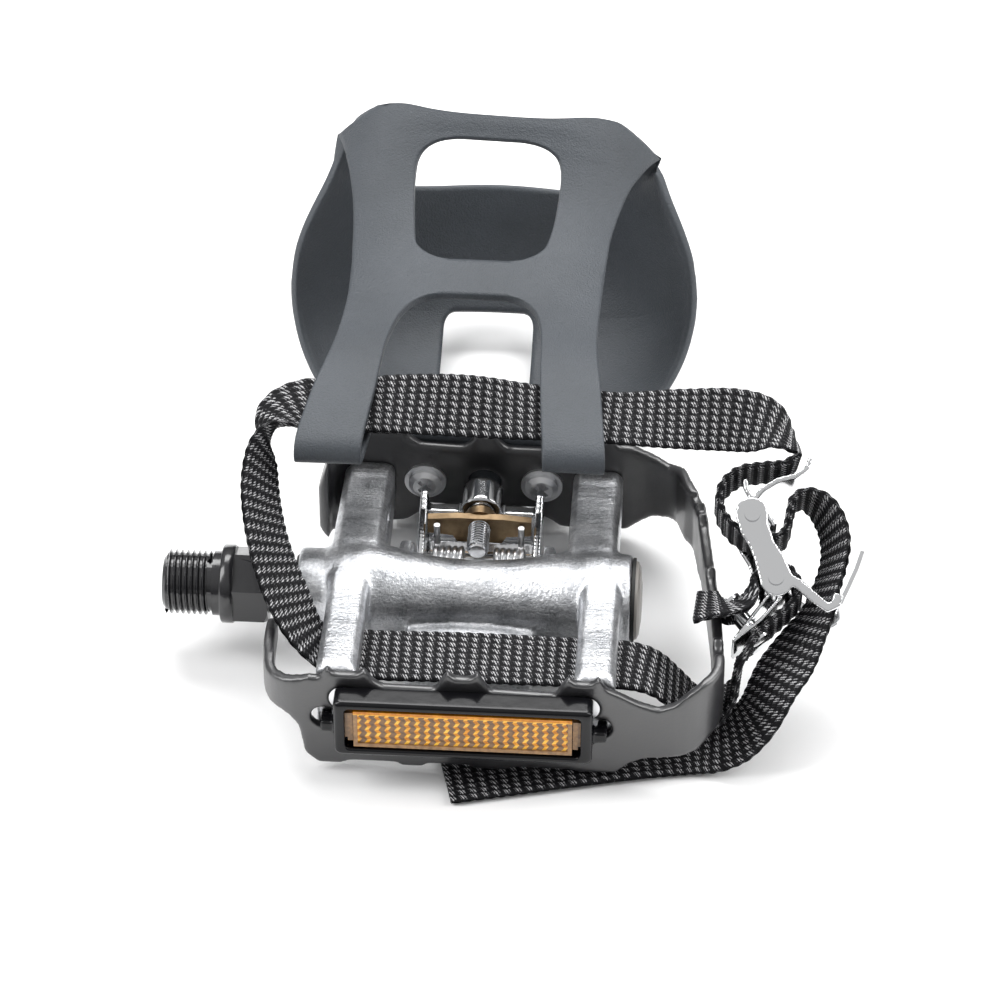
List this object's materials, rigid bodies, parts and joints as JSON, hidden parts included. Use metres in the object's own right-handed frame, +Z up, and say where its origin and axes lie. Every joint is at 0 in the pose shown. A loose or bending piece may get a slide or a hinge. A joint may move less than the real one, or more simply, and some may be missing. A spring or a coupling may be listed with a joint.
{
  "type": "bicycle pedal",
  "caption": "Bicycle pedal with a toothed cage, toe clip, webbing strap and reflector on top and a sprung cleat binding underneath.",
  "frame": {"origin": "centre of the axle's flange face that seats on the crank, on the axle's centre line", "axes": "+X out along the axle to the dust cap, +Y forward to the toe, +Z up out of the toe clip's side"},
  "size_m": [0.1531, 0.1765, 0.0698],
  "materials": {
    "gloss_black_steel": "gloss",
    "rubber": "matte",
    "bearing_steel": "polished",
    "grey_plastic": "satin",
    "cast_alloy": "satin",
    "satin_black": "satin",
    "zinc": "satin",
    "gloss_black": "gloss",
    "amber": "gloss",
    "slate_plastic": "matte",
    "chrome": "polished",
    "webbing": "matte",
    "spring_steel": "satin",
    "bronze": "satin"
  },
  "bodies": {
    "pedal": {"body": "cast_alloy", "cage": "satin_black", "cage_screws": "zinc", "inner_seal": "rubber", "inner_cup": "bearing_steel", "inner_balls": "bearing_steel", "outer_cup": "bearing_steel", "outer_balls": "bearing_steel", "cap_ring": "rubber", "dust_cap": "grey_plastic", "reflector_housing": "gloss_black", "reflector_lens": "amber", "toe_clip": "slate_plastic", "clip_screws": "chrome", "clip_nuts": "zinc", "strap": "webbing", "strap_rivets": "chrome", "buckle_frame": "chrome", "buckle_pins": "chrome", "buckle_keeper": "chrome", "fixed_claw": "zinc", "claw_screws": "zinc", "rest_plate": "zinc", "jaw_pin": "zinc", "jaw_springs": "spring_steel"},
    "spindle": {"axle": "gloss_black_steel", "outer_cone": "bearing_steel", "axle_washer": "bearing_steel", "lock_nut": "bearing_steel"},
    "jaw": {"rear_jaw": "chrome"},
    "adjuster": {"tension_screw": "chrome"},
    "nut_plate": {"tension_nut": "bronze"},
    "lever": {"buckle_lever": "chrome"},
    "roller": {"buckle_roller": "chrome"}
  },
  "joints": [
    {"name": "axle_spin", "type": "hinge", "parent": "pedal", "child": "spindle", "pos_m": [0.05, 0, 0], "axis": [1, 0, 0], "continuous": true},
    {"name": "jaw_turn", "type": "hinge", "parent": "pedal", "child": "jaw", "pos_m": [0.0554, 0.017, -0.006], "axis": [1, 0, 0], "range_deg": [0, 14], "stiffness_Nm_per_rad": 0.8, "springref_deg": -3.44, "deforming": ["jaw_springs"]},
    {"name": "screw_turn", "type": "hinge", "parent": "jaw", "child": "adjuster", "pos_m": [0.0554, 0.03, 0.001], "axis": [0, -1, 0], "range_deg": [-1100, 378], "deforming": ["jaw_springs"]},
    {"name": "nut_slide", "type": "slide", "parent": "jaw", "child": "nut_plate", "axis": [0, 1, 0], "range_m": [-0.0024, 0.0008], "deforming": ["jaw_springs"]},
    {"name": "lever_turn", "type": "hinge", "parent": "pedal", "child": "lever", "pos_m": [0.1158, 0.00447, 0.01974], "axis": [0, -0.5471, 0.8371], "range_deg": [0, 30], "deforming": ["strap"]},
    {"name": "roller_spin", "type": "hinge", "parent": "pedal", "child": "roller", "pos_m": [0.12142, -0.00717, 0.01213], "axis": [0, -0.5471, 0.8371], "continuous": true}
  ],
  "couplings": [
    {"joint": "screw_turn", "follows": "nut_slide", "rad_per_m": 7854}
  ]
}
